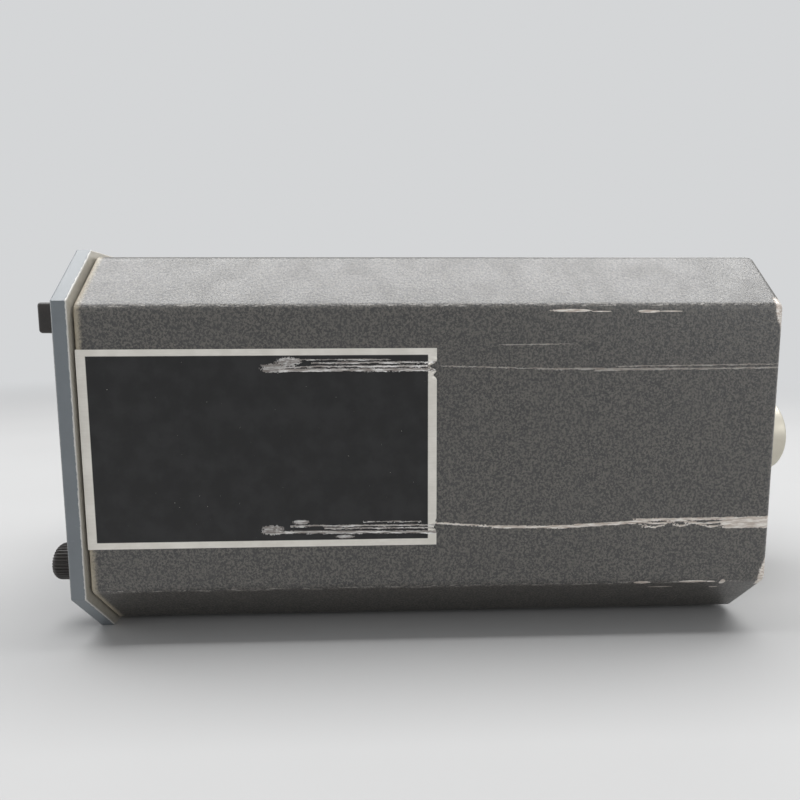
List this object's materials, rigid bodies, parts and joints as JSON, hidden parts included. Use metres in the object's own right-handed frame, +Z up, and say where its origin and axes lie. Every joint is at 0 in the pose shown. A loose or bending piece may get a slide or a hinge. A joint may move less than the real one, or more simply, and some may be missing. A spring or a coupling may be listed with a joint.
{
  "type": "panel navigation display",
  "caption": "Square-cased panel navigation display with a chamfered bezel, numeric window, push button, dimmer knob, data plate and rear receptacle.",
  "frame": {"origin": "on the surface the bezel's lower edge stands on, at the middle of the overall box in plan", "axes": "+Z up, front (bezel) towards -Y, receptacle towards +Y, data plate on the +X side"},
  "size_m": [0.0832, 0.1808, 0.0832],
  "materials": {
    "bezel_paint": "semi-matt blue-grey enamel",
    "case_paint": "black fine wrinkle paint, worn at the edges",
    "bare_aluminium": "machined, bare",
    "plate_foil": "thin foil plate with a black field",
    "filter_lens": "dark filter plastic",
    "lamp_lens": "coloured translucent caps",
    "digit_module": "black module with numeric segments",
    "black_plastic": "moulded, semi-matt",
    "rubber_seal": "black rubber sheet",
    "board_laminate": "green glass-fibre laminate",
    "steel_hardware": "nickel-plated",
    "nickel_plate": "satin nickel plate over aluminium",
    "insert_plastic": "moulded insert with plated contacts",
    "transformer_core": "varnished laminations",
    "capacitor_sleeve": "blue sleeve",
    "wire_jacket": "laced white wires",
    "ribbon_jacket": "grey ribbon"
  },
  "bodies": {
    "chassis": {"bezel": "bezel_paint", "bezel_screw_1": "steel_hardware", "bezel_screw_2": "steel_hardware", "bezel_screw_3": "steel_hardware", "bezel_screw_4": "steel_hardware", "display_lens": "filter_lens", "lens_gasket": "rubber_seal", "annunciator_lens_1": "lamp_lens", "annunciator_lens_2": "lamp_lens", "annunciator_lens_3": "lamp_lens", "annunciator_block": "black_plastic", "front_frame": "bare_aluminium", "display_board": "board_laminate", "digit_upper_1": "digit_module", "digit_upper_2": "digit_module", "digit_upper_3": "digit_module", "digit_upper_4": "digit_module", "digit_lower_1": "digit_module", "digit_lower_2": "digit_module", "digit_lower_3": "digit_module", "digit_lower_4": "digit_module", "button_switch": "black_plastic", "button_switch_nut": "steel_hardware", "dimmer_control": "black_plastic", "dimmer_control_nut": "steel_hardware", "case_shell": "case_paint", "case_screw_1": "steel_hardware", "case_screw_2": "steel_hardware", "case_screw_3": "steel_hardware", "case_screw_4": "steel_hardware", "data_plate": "plate_foil", "side_rail_left": "bare_aluminium", "side_rail_right": "bare_aluminium", "rear_plate": "bare_aluminium", "receptacle_shell": "nickel_plate", "receptacle_insert": "insert_plastic", "receptacle_gasket": "rubber_seal", "receptacle_screw_1": "steel_hardware", "receptacle_screw_2": "steel_hardware", "receptacle_screw_3": "steel_hardware", "receptacle_screw_4": "steel_hardware", "logic_board": "board_laminate", "logic_chip_1": "black_plastic", "logic_chip_2": "black_plastic", "logic_chip_3": "black_plastic", "power_board": "board_laminate", "transformer": "transformer_core", "filter_capacitor_1": "capacitor_sleeve", "filter_capacitor_2": "capacitor_sleeve", "heat_sink": "bare_aluminium", "wire_bundle": "wire_jacket", "display_ribbon": "ribbon_jacket"},
    "button": {"button_cap": "black_plastic", "button_stem": "steel_hardware"},
    "dimmer": {"dimmer_knob": "black_plastic", "knob_set_screw": "steel_hardware", "dimmer_shaft": "steel_hardware"}
  },
  "joints": [
    {"name": "button_press", "type": "slide", "parent": "chassis", "child": "button", "axis": [0, 1, 0], "range_m": [0, 0.0016], "stiffness_N_per_m": 1200, "springref_m": -0.0008},
    {"name": "dimmer_turn", "type": "hinge", "parent": "chassis", "child": "dimmer", "pos_m": [0.0275, -0.08069, 0.01418], "axis": [0, 1, 0], "range_deg": [-150, 150]}
  ]
}
